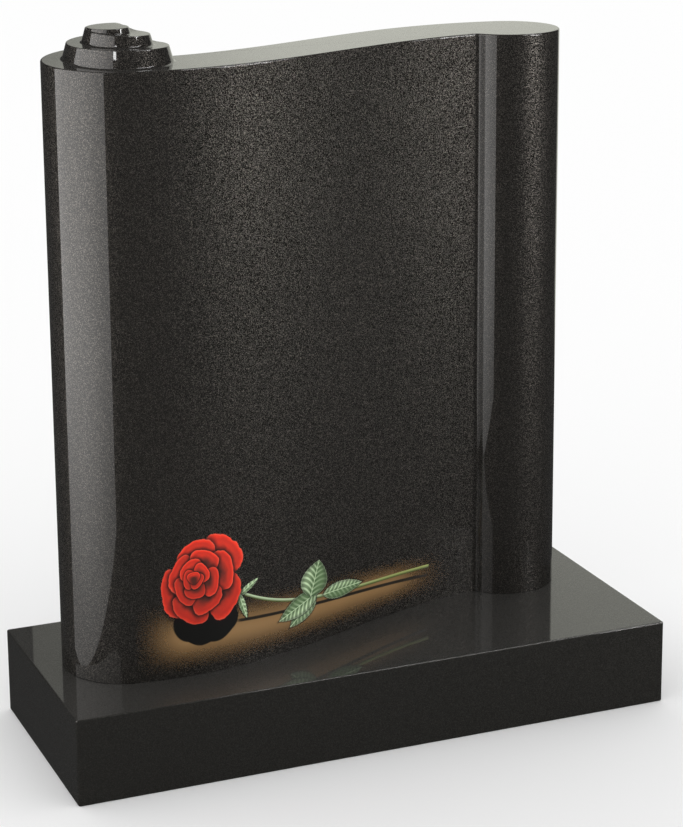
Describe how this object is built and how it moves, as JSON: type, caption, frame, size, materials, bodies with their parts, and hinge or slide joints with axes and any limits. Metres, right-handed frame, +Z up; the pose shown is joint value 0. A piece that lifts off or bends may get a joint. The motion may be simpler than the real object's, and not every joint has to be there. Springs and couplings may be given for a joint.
{
  "type": "scroll headstone",
  "caption": "Upright polished black granite headstone carved as an unrolled scroll with a stepped coil on one roll, standing on a rectangular base slab.",
  "frame": {"origin": "middle of the base slab's underside", "axes": "+X to the right of someone facing the front, along the base's width; +Y from the front to the back; +Z up"},
  "size_m": [0.762, 0.304, 0.8711],
  "materials": {
    "base_granite": "polished black granite",
    "headstone_granite": "polished black granite with fine pale flecks"
  },
  "bodies": {
    "root": {"base": "base_granite", "headstone": "headstone_granite"}
  },
  "joints": []
}
